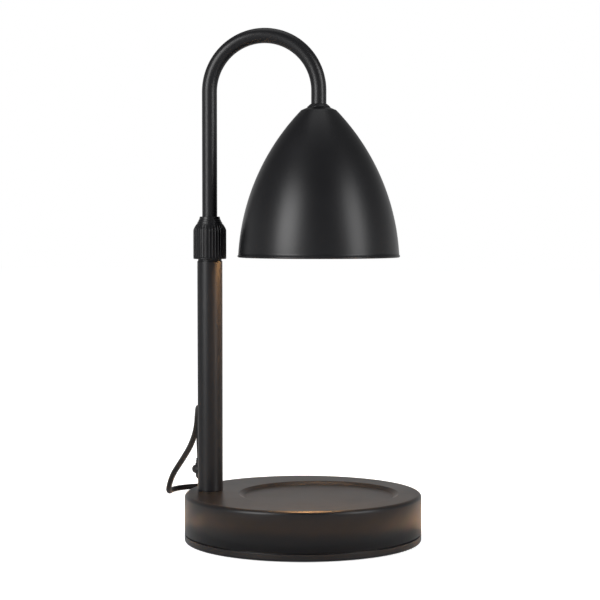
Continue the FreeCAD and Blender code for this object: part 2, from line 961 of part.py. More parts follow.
def dimmer_board():
    low = (dimmer_x - board_half_length, lay_y - board_half_width, board_z)
    high = (dimmer_x + board_half_length, lay_y + board_half_width, board_z + board_thickness)
    pot_top = board_z + board_thickness + pot_height
    pot = rod(pot_r, board_z + board_thickness, pot_top, dimmer_x, lay_y)
    shaft = rod(pot_shaft_r, pot_top, wheel_z + wheel_thickness + pot_shaft_proud, dimmer_x, lay_y)
    return block(low, high).fuse(pot).fuse(shaft).removeSplitter()


def dimmer_wheel():
    wheel = ring(wheel_r, pot_shaft_r + running_clearance, wheel_z, wheel_z + wheel_thickness)
    grooves = [rod(wheel_groove_r, wheel_z, wheel_z + wheel_thickness, x, y)
               for x, y in around(wheel_groove_count, wheel_r + wheel_groove_out)]
    wheel = wheel.cut(grooves)
    wheel.translate(Vector(dimmer_x, lay_y, 0))
    return wheel


def dimmer_screws():
    seat_z = floor_gap + dimmer_wall - case_screw_head_height
    screws = []
    for x, y in case_screw_places():
        head = rod(case_screw_head_r, seat_z - case_screw_head_height, seat_z, x, y)
        screws.append(head.fuse(rod(case_screw_r, seat_z, seat_z + case_screw_length, x, y)))
    return screws


# Coil and its tie

def coil_at(turn):
    """Place on the coil's centre line after a turn, in radians, from where the lead meets the coil."""
    reverse = 2 * math.pi * coil_layer_turns
    away = abs(turn - reverse)
    blend = math.pi / 2
    eased = away if away > blend else away * away / (2 * blend) + blend / 2
    r = coil_in_r + coil_pitch * eased / (2 * math.pi)
    climb = min(max((turn - reverse + blend) / (2 * blend), 0.0), 1.0)
    z = coil_low + (coil_high - coil_low) * (1 - math.cos(math.pi * climb)) / 2
    where = turn - math.pi / 2
    return Vector(coil_x + r * math.cos(where), coil_y + r * math.sin(where), z)


def coil_way(turn):
    step = 1e-4
    return (coil_at(turn + step) - coil_at(turn - step)).normalize()


def cord_coil():
    straight = 2 * cord_r
    start = Vector(dimmer_right + nozzle_length, lay_y, dimmer_axis_z)
    out = Vector(1, 0, 0)
    edges = [Part.LineSegment(start, start + out * straight).toShape()]
    edges += biarc(start + out * straight, out, coil_at(0), coil_way(0))
    quarters = int(round(8 * coil_layer_turns))
    step = math.pi / 2
    last = quarters * step
    for k in range(quarters):
        a = k * step
        b = a + step
        edges += biarc(coil_at(a), coil_way(a), coil_at(b), coil_way(b))
    back = Vector(-1, 0, 0)
    end = Vector(coil_x - plug_lead, coil_y + coil_out_r, coil_high)
    edges += biarc(coil_at(last), coil_way(last), end - back * straight, back)
    edges.append(Part.LineSegment(end - back * straight, end).toShape())
    return edges, tube_on(edges, cord_r)


def least_self_gap(edges, r):
    """Least gap of a coil to itself, from points along it that are at least half a turn apart."""
    points = []
    along = 0.0
    for edge in edges:
        count = max(2, int(edge.Length / 1.0))
        for k in range(count):
            share = (k + 0.5) / count
            at = edge.valueAt(edge.FirstParameter + share * (edge.LastParameter - edge.FirstParameter))
            points.append((along + share * edge.Length, at))
        along += edge.Length
    least = 1e9
    for i, (a, p) in enumerate(points):
        for b, q in points[i + 1:]:
            if b - a > 3 * coil_in_r:
                least = min(least, (p - q).Length)
    return least - 2 * r, along


def cord_tie():
    inner_low = coil_x + coil_in_r - cord_r - tie_clearance
    inner_high = coil_x + coil_out_r + cord_r + tie_clearance
    low_z = coil_low - cord_r - tie_clearance
    high_z = coil_high + cord_r + tie_clearance
    t = tie_thickness
    outer = block((inner_low - t, coil_y - tie_width / 2, low_z - t),
                  (inner_high + t, coil_y + tie_width / 2, high_z + t))
    inner = block((inner_low, coil_y - tie_width, low_z), (inner_high, coil_y + tie_width, high_z))
    return outer.cut(inner)


# Plug

def plug_body():
    z = coil_high
    y = coil_y + coil_out_r
    start = coil_x - plug_lead
    root = start - relief_length
    relief = Part.makeCone(relief_tip_r, relief_root_r, relief_length, Vector(start, y, z), Vector(-1, 0, 0))
    low = (root - plug_length, y - plug_half_width, z - plug_half_height)
    high = (root, y + plug_half_width, z + plug_half_height)
    body = block(low, high)
    long_edges = [e for e in body.Edges if abs(e.tangentAt(e.FirstParameter).x) > 0.9]
    return body.makeFillet(plug_round, long_edges).fuse(relief)


def plug_blades():
    z = coil_high
    y = coil_y + coil_out_r
    face_x = coil_x - plug_lead - relief_length - plug_length
    blades = []
    for side in (-1, 1):
        middle = y + side * blade_spacing / 2
        blade = block((face_x - blade_length, middle - blade_thickness / 2, z - blade_half_height),
                      (face_x, middle + blade_thickness / 2, z + blade_half_height))
        blades.append(blade)
    return blades


def build():
    os.makedirs("parts", exist_ok=True)
    save("base_housing", base_housing())
    save("ballast_disc", ballast_disc())
    save("bottom_plate", bottom_plate())
    save("plate_screws", *plate_screws())
    save("foot_pad", rod(pad_r, 0, pad_thickness))
    save("post_tube", post_tube())
    save("post_stud", post_stud())
    save("foot_washer", foot_washer())
    save("foot_nut", foot_nut())
    save("cord_gland", cord_gland())
    save("post_lead", post_lead())
    save("collar_seat", collar_seat())
    save("collet", collet())
    save("lock_collar", lock_collar())
    save("arm_tube", arm_tube())
    save("arm_lead", arm_lead())
    save("guide_bush", guide_bush())
    save("bush_clips", *bush_clips())
    save("shade_shell", shade_shell())
    save("shade_ferrule", shade_ferrule())
    save("shade_washer", shade_washer())
    save("shade_nut", tube_nut(nut_top))
    save("bracket_nut", tube_nut(bracket_top - bracket_sheet))
    save("holder_bracket", holder_bracket())
    save("holder_screws", *holder_screws())
    save("holder_body", holder_body())
    save("holder_contacts", *holder_contacts())
    save("bulb_pins", *bulb_pins())
    save("bulb_base", bulb_base())
    save("bulb_reflector", bulb_reflector())
    save("bulb_lens", bulb_lens())
    save("bulb_capsule", bulb_capsule())
    save("dimmer_case_base", dimmer_case_base())
    save("dimmer_case_top", dimmer_case_top())
    save("dimmer_board", dimmer_board())
    save("dimmer_wheel", dimmer_wheel())
    save("dimmer_screws", *dimmer_screws())
    save("lamp_cord", lead_tube("lamp_cord", lamp_cord_route, cord_r))
    edges, coil = cord_coil()
    gap, length = least_self_gap(edges, cord_r)
    print("cord_coil length", round(length, 1), "least gap to itself", round(gap, 3))
    print("cord_coil volume", round(coil.Volume, 1), "section times length",
          round(math.pi * cord_r ** 2 * length, 1))
    save("cord_coil", coil)
    save("cord_tie", cord_tie())
    save("plug_body", plug_body())
    save("plug_blades", *plug_blades())


build()
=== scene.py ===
import math

import bmesh
import bpy
from mathutils import Matrix, Vector


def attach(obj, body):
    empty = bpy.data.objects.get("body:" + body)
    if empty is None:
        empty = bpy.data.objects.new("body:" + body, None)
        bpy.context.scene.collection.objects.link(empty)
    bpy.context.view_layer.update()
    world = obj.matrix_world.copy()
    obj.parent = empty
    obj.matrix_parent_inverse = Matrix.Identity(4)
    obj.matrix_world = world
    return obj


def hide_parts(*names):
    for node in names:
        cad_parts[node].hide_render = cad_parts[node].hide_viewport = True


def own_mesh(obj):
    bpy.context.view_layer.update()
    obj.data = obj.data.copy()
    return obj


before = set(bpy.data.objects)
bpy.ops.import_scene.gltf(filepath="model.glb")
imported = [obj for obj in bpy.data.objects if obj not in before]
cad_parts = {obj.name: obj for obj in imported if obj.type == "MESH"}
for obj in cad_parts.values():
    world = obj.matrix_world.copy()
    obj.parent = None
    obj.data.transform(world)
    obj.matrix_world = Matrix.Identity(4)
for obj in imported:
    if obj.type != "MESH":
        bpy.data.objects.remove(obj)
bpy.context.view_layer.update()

# Sizes are in millimetres, as in the lamp's drawing. The leads' routes and the finished meshes are in metres.
MM = 0.001


# Camera, level with the shade and a little to the lamp's right, tilted slightly down

view_turn = math.radians(8.8)
eye_away, eye_aside, eye_height = 1100.6, 3.0, 203.0
look_aside, look_down = 0.00446, 0.04539
to_right = Vector((math.cos(view_turn), math.sin(view_turn), 0))
to_back = Vector((-math.sin(view_turn), math.cos(view_turn), 0))
eye = (-eye_away * to_back + eye_aside * to_right + Vector((0, 0, eye_height))) * MM
look = to_back - look_aside * to_right - Vector((0, 0, look_down))

camera_data = bpy.data.cameras.new("camera")
camera_data.sensor_width = 36.0
camera_data.lens = 104.7
camera_data.clip_start = 0.01
camera_data.clip_end = 50.0
camera = bpy.data.objects.new("camera", camera_data)
bpy.context.collection.objects.link(camera)
camera.location = eye
camera.rotation_mode = "QUATERNION"
camera.rotation_quaternion = look.to_track_quat("-Z", "Y")
bpy.context.scene.camera = camera
bpy.context.scene.view_settings.view_transform = "Standard"


# Materials

class Amount:
    """A number that changes over a surface, written in sums like any other number."""

    def __init__(self, finish, socket):
        self.finish = finish
        self.socket = socket

    def worked(self, operation, *values):
        made = self.finish.node("ShaderNodeMath", {"operation": operation}, dict(enumerate(values)))
        return Amount(self.finish, made.outputs[0])

    def __add__(self, other):
        return self.worked("ADD", self, other)

    def __sub__(self, other):
        return self.worked("SUBTRACT", self, other)

    def __rsub__(self, other):
        return self.worked("SUBTRACT", other, self)

    def __mul__(self, other):
        return self.worked("MULTIPLY", self, other)

    __radd__ = __add__
    __rmul__ = __mul__

    def larger(self, other):
        return self.worked("MAXIMUM", self, other)

    def between(self, low, high):
        """0 below low, 1 above high and a straight climb in between."""
        made = self.finish.node("ShaderNodeMapRange", {"clamp": True},
                                {"Value": self, "From Min": low, "From Max": high})
        return Amount(self.finish, made.outputs["Result"])


class Finish:
    """The nodes of one material, or of the world."""

    def __init__(self, owner):
        owner.use_nodes = True
        self.owner = owner
        self.tree = owner.node_tree
        self.tree.nodes.clear()

    def node(self, kind, settings=None, values=None):
        """A node with its settings, then what its sockets hold or are linked to."""
        made = self.tree.nodes.new(kind)
        for name, setting in (settings or {}).items():
            setattr(made, name, setting)
        for name, value in (values or {}).items():
            if isinstance(value, Amount):
                value = value.socket
            if isinstance(value, bpy.types.NodeSocket):
                self.tree.links.new(value, made.inputs[name])
            else:
                made.inputs[name].default_value = value
        return made

    def place(self):
        return self.node("ShaderNodeTexCoord").outputs["Object"]

    def stretched(self, scale):
        made = self.node("ShaderNodeMapping", None, {"Vector": self.place(), "Scale": scale})
        return made.outputs["Vector"]

    def noise(self, scale, detail, rough=0.5, vector=None):
        made = self.node("ShaderNodeTexNoise", None, {
            "Vector": vector or self.place(), "Scale": scale, "Detail": detail, "Roughness": rough})
        return Amount(self, made.outputs["Fac"])

    def cells(self, scale):
        made = self.node("ShaderNodeTexVoronoi", {"feature": "F1"}, {"Vector": self.place(), "Scale": scale})
        return Amount(self, made.outputs["Distance"])

    def mixed(self, share, first, second):
        """The first colour where the share is 0, and the second where it is 1."""
        made = self.node("ShaderNodeMix", {"data_type": "RGBA"}, {
            "Factor": share, 6: (*first, 1), 7: (*second, 1)})
        return made.outputs[2]

    def raised(self, height, depth, strength):
        made = self.node("ShaderNodeBump", None, {"Strength": strength, "Distance": depth, "Height": height})
        return made.outputs["Normal"]

    def surface(self, **values):
        """Ends the material in one principled shader. Spaces in socket names are written as underscores."""
        sockets = {name.replace("_", " "): value for name, value in values.items()}
        shader = self.node("ShaderNodeBsdfPrincipled", None, sockets)
        self.node("ShaderNodeOutputMaterial", None, {"Surface": shader.outputs[0]})
        return self.owner


def new_finish(name):
    return Finish(bpy.data.materials.new(name))


def satin_paint(name, dark, light, rough):
    """Satin black baked paint: a faint orange peel, soft clouds of gloss and a little dust."""
    f = new_finish(name)
    peel = f.noise(620.0, 2.0)
    cloud = f.noise(26.0, 3.0)
    dust = f.noise(1900.0, 3.0, 0.7).between(0.66, 0.78)
    colour = f.mixed((cloud - 0.3).larger(0.0) + 0.5 * dust, dark, light)
    return f.surface(Base_Color=colour, Roughness=rough + 0.09 * (cloud - 0.5) + 0.06 * dust,
                     Specular_IOR_Level=0.22, Normal=f.raised(peel, 0.00004, 0.35))


def moulded(name, dark, light, rough, grain=900.0):
    """Moulded plastic or rubber with a fine grain."""
    f = new_finish(name)
    fine = f.noise(grain, 3.0, 0.6)
    cloud = f.noise(35.0, 2.0)
    return f.surface(Base_Color=f.mixed(cloud, dark, light), Roughness=rough + 0.12 * (fine - 0.5),
                     Specular_IOR_Level=0.2, Normal=f.raised(fine, 0.00006, 0.4))


def turned_metal(name, dark, light, rough, lines):
    """Metal with fine tool marks across its height."""
    f = new_finish(name)
    marks = f.noise(1.0, 3.0, 0.6, f.stretched((40.0, 40.0, lines)))
    stain = f.noise(60.0, 4.0)
    return f.surface(Base_Color=f.mixed(stain, dark, light), Metallic=1.0,
                     Roughness=rough + 0.14 * (marks - 0.5) + 0.08 * (stain - 0.5),
                     Normal=f.raised(marks, 0.00003, 0.3))


def cast(name):
    """Sand-cast iron with a little rust."""
    f = new_finish(name)
    sand = f.noise(420.0, 5.0, 0.65)
    rust = f.noise(45.0, 4.0).between(0.55, 0.75)
    return f.surface(Base_Color=f.mixed(rust, (0.045, 0.045, 0.048), (0.12, 0.055, 0.03)), Metallic=0.6,
                     Roughness=0.62 + 0.2 * (sand - 0.5), Normal=f.raised(sand, 0.0003, 0.6))


def foam(name):
    """Foam with open pores, with painted shade darkening the colour in each pore."""
    f = new_finish(name)
    pores = f.cells(900.0).between(0.0, 0.6)
    # Painted shade: the colour is darker in the pits of the pores, as the bump makes them
    return f.surface(Base_Color=f.mixed(pores, (0.012, 0.012, 0.013), (0.035, 0.035, 0.037)),
                     Roughness=0.86 + 0.1 * pores, Normal=f.raised(pores, 0.0002, 0.7))


def lead_sheath(name):
    """Soft PVC, with the faint waves that the cores leave along it."""
    f = new_finish(name)
    waves = f.noise(140.0, 2.0)
    scuff = f.noise(700.0, 3.0, 0.6)
    return f.surface(Base_Color=f.mixed(waves, (0.0022, 0.0022, 0.0025), (0.0045, 0.0045, 0.005)),
                     Roughness=0.34 + 0.1 * (scuff - 0.5), Specular_IOR_Level=0.03,
                     Normal=f.raised(waves + 0.3 * scuff, 0.00006, 0.4))


def fired_clay(name):
    """White ceramic with darker specks."""
    f = new_finish(name)
    speck = f.noise(800.0, 3.0, 0.7).between(0.62, 0.74)
    return f.surface(Base_Color=f.mixed(speck, (0.78, 0.76, 0.70), (0.55, 0.50, 0.42)),
                     Roughness=0.42 + 0.1 * speck, Normal=f.raised(speck, 0.00005, 0.3))


def mirror_coat(name):
    """The bulb's mirror: a hammered coat on glass, with a warm tint."""
    f = new_finish(name)
    facets = f.cells(320.0)
    tint = f.noise(50.0, 2.0)
    return f.surface(Base_Color=f.mixed(tint, (0.80, 0.72, 0.60), (0.90, 0.84, 0.74)), Metallic=1.0,
                     Roughness=0.16 + 0.1 * facets, Normal=f.raised(facets, 0.0005, 0.6))


def lit_glass(name, strength):
    """The bulb's front glass, frosted and lit from behind."""
    f = new_finish(name)
    frost = f.noise(500.0, 2.0)
    pebble = f.cells(260.0)
    glow = f.mixed(frost.between(0.3, 0.7), (1.0, 0.48, 0.17), (1.0, 0.56, 0.24))
    return f.surface(Base_Color=(0.85, 0.80, 0.72, 1), Roughness=0.3 + 0.15 * pebble,
                     Emission_Color=glow, Emission_Strength=strength, Normal=f.raised(pebble, 0.0003, 0.5))


def board(name):
    """A green circuit board with lighter tracks."""
    f = new_finish(name)
    tracks = f.noise(1.0, 1.0, 0.5, f.stretched((300.0, 60.0, 60.0))).between(0.5, 0.53)
    return f.surface(Base_Color=f.mixed(tracks, (0.02, 0.10, 0.05), (0.03, 0.16, 0.08)),
                     Roughness=0.4 + 0.1 * tracks, Normal=f.raised(tracks, 0.00005, 0.5))


paint = satin_paint("black_paint", (0.0030, 0.0030, 0.0036), (0.0060, 0.0060, 0.0072), 0.36)
steel = turned_metal("bare_steel", (0.42, 0.42, 0.43), (0.56, 0.56, 0.57), 0.36, 2600.0)
blade_brass = turned_metal("brass", (0.62, 0.44, 0.20), (0.74, 0.56, 0.28), 0.28, 1800.0)
iron = cast("cast_iron")
pad_foam = foam("foam_pad")
sheath = lead_sheath("cord_sheath")
rubber = moulded("black_rubber", (0.006, 0.006, 0.0065), (0.012, 0.012, 0.013), 0.55)
nylon = moulded("nylon", (0.52, 0.50, 0.45), (0.62, 0.60, 0.55), 0.42)
plastic = moulded("black_plastic", (0.009, 0.009, 0.010), (0.016, 0.016, 0.0175), 0.40, 1300.0)
ceramic = fired_clay("ceramic")
mirror = mirror_coat("reflector")
bulb_brightness = 170.0
bulb_glass = lit_glass("bulb_glass", bulb_brightness)
green_board = board("circuit_board")


# Meshes

def skinned(name, rings, finish, loop=False):
    """A closed skin over rings of points in millimetres. A ring of one point closes the skin at a pole."""
    points = []
    starts = []
    for ring in rings:
        starts.append(len(points))
        points += [tuple(c * MM for c in point) for point in ring]
    pairs = list(zip(range(len(rings)), range(1, len(rings))))
    if loop:
        pairs.append((len(rings) - 1, 0))
    faces = []
    for a, b in pairs:
        count = max(len(rings[a]), len(rings[b]))
        if count == 1:      # two poles have no faces between them
            continue
        for k in range(count):
            n = (k + 1) % count
            if len(rings[a]) == 1:
                faces.append((starts[a], starts[b] + n, starts[b] + k))
            elif len(rings[b]) == 1:
                faces.append((starts[a] + k, starts[a] + n, starts[b]))
            else:
                faces.append((starts[a] + k, starts[a] + n, starts[b] + n, starts[b] + k))
    mesh = bpy.data.meshes.new(name)
    mesh.from_pydata(points, [], faces)
    turned_out = bmesh.new()
    turned_out.from_mesh(mesh)
    bmesh.ops.recalc_face_normals(turned_out, faces=turned_out.faces)
    turned_out.to_mesh(mesh)
    turned_out.free()
    mesh.shade_smooth()
    mesh.materials.append(finish)
    piece = bpy.data.objects.new(name, mesh)
    bpy.context.collection.objects.link(piece)
    return piece


def rounded(*corners, loop=False, steps=6):
    """Points of a profile. A corner is (radius, height) or (radius, height, rounding).

    A straight stretch gets a point of its own close to each rounding, so that it stays flat when shaded.
    """
    room_wanted, guard_point = 1.6, 1.25
    made = []
    last = len(corners) - 1
    for k, corner in enumerate(corners):
        here = Vector(corner[:2])
        size = corner[2] if len(corner) > 2 else 0.0
        if size == 0 or (not loop and k in (0, last)):
            made.append(tuple(here))
            continue
        before = Vector(corners[k - 1][:2]) - here
        after = Vector(corners[(k + 1) % len(corners)][:2]) - here
        opening = before.angle(after)
        reach = size / math.tan(opening / 2)
        inwards = (before.normalized() + after.normalized()).normalized()
        centre = here + inwards * size / math.sin(opening / 2)
        start = here + before.normalized() * reach - centre
        end = here + after.normalized() * reach - centre
        turn = math.atan2(start.x * end.y - start.y * end.x, start.dot(end))
        if before.length > room_wanted * reach:
            made.append(tuple(here + before.normalized() * guard_point * reach))
        for step in range(steps + 1):
            angle = turn * step / steps
            c, s = math.cos(angle), math.sin(angle)
            made.append((centre.x + start.x * c - start.y * s, centre.y + start.x * s + start.y * c))
        if after.length > room_wanted * reach:
            made.append(tuple(here + after.normalized() * guard_point * reach))
    return made


def round_steps(count):
    """Angles all the way round, in equal steps."""
    return [2 * math.pi * k / count for k in range(count)]


def circle(radius, height, sides, x=0.0):
    """A level ring, or one point when its radius is 0."""
    if radius == 0:
        return [(x, 0.0, height)]
    return [(x + radius * math.cos(t), radius * math.sin(t), height) for t in round_steps(sides)]


def turned(name, profile, finish, sides, at=(0, 0, 0), along=(0, 0, 1), loop=False):
    """A profile of (radius, height) points turned about an axis."""
    tilt = Vector((0, 0, 1)).rotation_difference(Vector(along)).to_matrix().to_4x4()
    to_axis = Matrix.Translation(at) @ tilt
    rings = [[tuple(to_axis @ Vector(p)) for p in circle(r, h, sides)] for r, h in profile]
    return skinned(name, rings, finish, loop)


def merged(name, *pieces):
    """One mesh from several pieces of the same finish."""
    together = bmesh.new()
    for piece in pieces:
        together.from_mesh(piece.data)
    finish = pieces[0].data.materials[0]
    for piece in pieces:
        bpy.data.objects.remove(piece)
    mesh = bpy.data.meshes.new(name)
    together.to_mesh(mesh)
    together.free()
    mesh.shade_smooth()
    mesh.materials.append(finish)
    whole = bpy.data.objects.new(name, mesh)
    bpy.context.collection.objects.link(whole)
    return whole


def arc(centre, radius, start, end, steps):
    """Points on an arc, with its angles in degrees."""
    turns = [math.radians(start + (end - start) * k / steps) for k in range(steps + 1)]
    return [(centre[0] + radius * math.cos(t), centre[1] + radius * math.sin(t)) for t in turns]


def plain_mesh(piece):
    """The piece as it is seen, with its modifiers or its curve turned into a mesh."""
    seen = piece.evaluated_get(bpy.context.evaluated_depsgraph_get())
    mesh = bpy.data.meshes.new_from_object(seen)
    if piece.type == "MESH":
        piece.modifiers.clear()
        piece.data = mesh
        return piece
    name, whole = piece.name, bpy.data.objects.new(piece.name, mesh)
    bpy.data.objects.remove(piece)
    whole.name = name
    bpy.context.collection.objects.link(whole)
    return whole


# Repeats, with geometry nodes

def repeat_tree(name):
    """A tree that repeats the piece's mesh round a circle about an upright axis."""
    tree = bpy.data.node_groups.new(name, "GeometryNodeTree")
    for socket, kind, way in (
            ("Piece", "NodeSocketGeometry", "INPUT"), ("Count", "NodeSocketInt", "INPUT"),
            ("Circle radius", "NodeSocketFloat", "INPUT"), ("Centre", "NodeSocketVector", "INPUT"),
            ("Finish", "NodeSocketMaterial", "INPUT"), ("Repeats", "NodeSocketGeometry", "OUTPUT")):
        tree.interface.new_socket(socket, in_out=way, socket_type=kind)

    def node(kind, **links):
        made = tree.nodes.new(kind)
        for socket, source in links.items():
            target = made.inputs[socket.replace("_", " ")]
            if isinstance(source, bpy.types.NodeSocket):
                tree.links.new(source, target)
            else:
                target.default_value = source
        return made

    given = node("NodeGroupInput").outputs
    places = node("GeometryNodeMeshCircle", Vertices=given["Count"], Radius=given["Circle radius"])
    step = node("ShaderNodeMath")
    step.operation = "DIVIDE"
    step.inputs[0].default_value = 2 * math.pi
    tree.links.new(given["Count"], step.inputs[1])
    turn = node("ShaderNodeMath")
    turn.operation = "MULTIPLY"
    tree.links.new(node("GeometryNodeInputIndex").outputs[0], turn.inputs[0])
    tree.links.new(step.outputs[0], turn.inputs[1])
    facing = node("ShaderNodeCombineXYZ", Z=turn.outputs[0])
    copies = node("GeometryNodeInstanceOnPoints", Points=places.outputs[0], Instance=given["Piece"],
                  Rotation=facing.outputs[0])
    moved = node("GeometryNodeTranslateInstances", Instances=copies.outputs[0], Translation=given["Centre"],
                 Local_Space=False)
    real = node("GeometryNodeRealizeInstances", Geometry=moved.outputs[0])
    dressed = node("GeometryNodeSetMaterial", Geometry=real.outputs[0], Material=given["Finish"])
    node("NodeGroupOutput", Repeats=dressed.outputs[0])
    return tree


ring_of_copies = repeat_tree("copies_round_a_circle")


def repeated(piece, count, radius, centre, finish):
    """The piece's mesh, made once at the origin, becomes all of its copies."""
    modifier = piece.modifiers.new("copies", "NODES")
    modifier.node_group = ring_of_copies
    wanted = {"Count": count, "Circle radius": radius * MM, "Centre": [c * MM for c in centre],
              "Finish": finish}
    for item in ring_of_copies.interface.items_tree:
        if item.name in wanted:
            modifier[item.identifier] = wanted[item.name]
    return plain_mesh(piece)


# Cords come before the pieces they join

def lead(name, route, diameter):
    """A round lead on one smooth line through its route, in metres."""
    curve = bpy.data.curves.new(name, "CURVE")
    curve.dimensions = "3D"
    spline = curve.splines.new("NURBS")
    spline.points.add(len(route) - 1)
    for point, place in zip(spline.points, route):
        point.co = (*place, 1)
    spline.order_u = 3
    spline.use_endpoint_u = True
    spline.resolution_u = 8
    curve.bevel_depth = diameter / 2
    curve.bevel_resolution = 5
    curve.use_fill_caps = True
    curve.materials.append(sheath)
    piece = bpy.data.objects.new(name, curve)
    bpy.context.collection.objects.link(piece)
    return piece


lead_thick, slack_lead_thick = 0.004, 0.0032
gland_x, gland_y = -0.0682, 0.00726

# From the strain relief up and over to the floor behind the post, then round to the dimmer
lamp_lead = lead("lamp_lead", [
    (gland_x, gland_y, 0.0504), (-0.0690, 0.0076, 0.0662), (-0.0708, 0.0168, 0.0780),
    (-0.0747, 0.0321, 0.0812), (-0.0790, 0.0494, 0.0752), (-0.0836, 0.0666, 0.0622),
    (-0.0930, 0.0914, 0.0474), (-0.1054, 0.1172, 0.0332), (-0.1188, 0.1416, 0.0182),
    (-0.1274, 0.1646, 0.0021), (-0.1278, 0.1866, 0.0021), (-0.1120, 0.2016, 0.0021),
    (-0.0900, 0.2004, 0.0021), (-0.0744, 0.1838, 0.0021), (-0.0726, 0.1604, 0.0021),
    (-0.0825, 0.1426, 0.0021), (-0.0933, 0.1270, 0.0021), (-0.0933, 0.1126, 0.0021),
    (-0.0863, 0.1005, 0.0034), (-0.0750, 0.0940, 0.0050), (-0.0620, 0.0940, 0.0050),
], lead_thick)

# The coil: turns that close inwards on the floor, cross over at the middle and open out again on top
coil_x, coil_y = 0.024, 0.12489
coil_in_r, coil_pitch = 0.01611, 0.00455
coil_low, coil_high = 0.0030, 0.00755
coil_turns, points_in_a_turn = 6.5, 16
# The spline runs inside its points by this much, so they are spread
spline_spread = 1 / (0.75 + 0.25 * math.cos(2 * math.pi / points_in_a_turn))


def coil_point(k):
    turn = 2 * math.pi * k / points_in_a_turn
    past_middle = turn - math.pi * coil_turns
    away = abs(past_middle)
    if away < math.pi / 2:      # the turns stop closing in little by little
        away = away * away / math.pi + math.pi / 4
    r = (coil_in_r + coil_pitch * away / (2 * math.pi)) * spline_spread
    climb = max(0.0, min(1.0, 0.5 + past_middle / math.pi))
    z = coil_low + (coil_high - coil_low) * (1 - math.cos(math.pi * climb)) / 2
    return (coil_x + r * math.sin(turn), coil_y - r * math.cos(turn), z)


coil_points = [coil_point(k) for k in range(int(coil_turns * points_in_a_turn) + 1)]
plug_y, plug_z = 155.79, 7.55
put_away_lead = lead("put_away_lead", [
    (-0.0020, 0.0940, 0.0050), (0.0040, 0.0940, 0.0050), (0.0125, 0.0938, 0.0040),
    *coil_points,
    *((x, plug_y * MM, plug_z * MM) for x in (0.0130, 0.0040, 0.0000)),
], lead_thick)


# Base

many_sides = 160
base_r, base_top = 75.0, 30.9
housing_bottom, wall = 6.2, 1.2
head_x, dish_r, dish_depth, dish_slope = 10.0, 50.5, 2.0, 3.4
dish_floor = base_top - dish_depth
inner_top, inner_r = base_top - wall, base_r - wall

# The side and the inside are round about the lamp's middle, and the dish is round about the shade's axis.
# The point that is cut off each profile only gives a direction.
side_and_edge = rounded((base_r, housing_bottom), (base_r, base_top, 2.3), (60.0, base_top), steps=10)[:-1]
dish_side = rounded((dish_r + 3, base_top), (dish_r, base_top, 1.5), (dish_r - dish_slope, dish_floor, 1.5),
                    (30.0, dish_floor), steps=6)[1:]
dish_under = [(0, dish_floor), (0, dish_floor - wall), (dish_r - 1, dish_floor - wall), (dish_r, inner_top)]
inside = [(base_r - 4, inner_top), (inner_r - 0.6, inner_top - 0.6), (inner_r, inner_top - 1.8),
          (inner_r, housing_bottom + 0.3), (inner_r, housing_bottom)]
base_rings = [circle(r, h, many_sides) for r, h in side_and_edge]
base_rings += [circle(r, h, many_sides, head_x) for r, h in dish_side + dish_under]
base_rings += [circle(r, h, many_sides) for r, h in inside]
base_cup = skinned("base_cup", base_rings, paint, loop=True)

bottom_band = turned("bottom_band", rounded(
    (0, 1.6), (52.2, 1.6, 0.2), (52.2, 0.8, 0.3), (base_r, 0.8, 1.3), (base_r, 5.4, 0.35), (73.6, 5.4, 0.1),
    (73.6, 9.4, 0.3), (71.6, 9.4, 0.3), (71.6, 5.4, 0.1), (0, 5.4)), paint, sides=many_sides)
screw_count, screw_circle_r = 3, 60.0
screw_hole = turned("screw_holes", [
    (0, -1), (3.9, -1), (3.9, 0.7), (3.8, 0.9), (3.8, 4.0), (2.2, 4.0), (2.2, 6.0), (0, 6.0)],
    paint, sides=48)
screw_holes = repeated(screw_hole, screw_count, screw_circle_r, (0, 0, 0), paint)
holes = bottom_band.modifiers.new("holes", "BOOLEAN")
holes.object = screw_holes
holes.solver = "EXACT"
bottom_band = plain_mesh(bottom_band)
bpy.data.objects.remove(screw_holes)


# Post, with its strain relief

post_x, post_r, post_top = -60.0, 8.0, 177.6
post = turned("post", rounded(
    (post_r, base_top, 0.3), (post_r, post_top, 0.5), (6.8, post_top, 0.3), (6.8, base_top, 0.2),
    loop=True, steps=4), paint, at=(post_x, 0, 0), sides=64, loop=True)

gland_z = 39.4
gland_turn = math.radians(138.5)
gland_way = (math.cos(gland_turn), math.sin(gland_turn), 0)
boot = turned("boot", [
    (0, 36.5), *arc((0, gland_z), 2.9, -75, 0, 8), (2.9, 40.5), *arc((2.35, 43.4), 2.95, -64, 64, 14)[1:-1],
    (2.95, 46.2), (3.15, 46.7), (3.05, 47.3), (2.65, 47.6), (2.65, 48.0), (2.95, 48.3), (2.85, 48.8),
    (2.5, 49.1), (2.5, 49.4), (2.7, 49.7), (2.6, 50.2), (2.3, 50.4), (0, 50.4)],
    rubber, at=(gland_x / MM, gland_y / MM, 0), sides=40)
shoulder = turned("shoulder", rounded(
    (0, 7.4), (3.4, 7.4, 0.2), (3.4, 8.9, 0.5), (2.7, 9.3, 0.2), (2.7, 11.0), (0, 11.0)),
    rubber, at=(post_x, 0, gland_z), along=gland_way, sides=40)
strain_relief = merged("strain_relief", boot, shoulder)


# Slack lead in the post, drawn as it lies at rest; on the real lamp it shortens as the tube slides in

slack_low = 0.0394
slack_lead = plain_mesh(lead("slack_lead", [
    (-0.06367, 0.00325, slack_low), (-0.05775, -0.00199, slack_low), (-0.0630, -0.0009, 0.0514),
    (-0.0570, 0.0009, 0.0609), (-0.0630, -0.0009, 0.0704), (-0.0570, 0.0009, 0.0800),
    (-0.0630, -0.0009, 0.0895), (-0.0600, 0.0, 0.0980), (-0.0600, 0.0, 0.1065)], slack_lead_thick))


# Lock collar, with its ribs

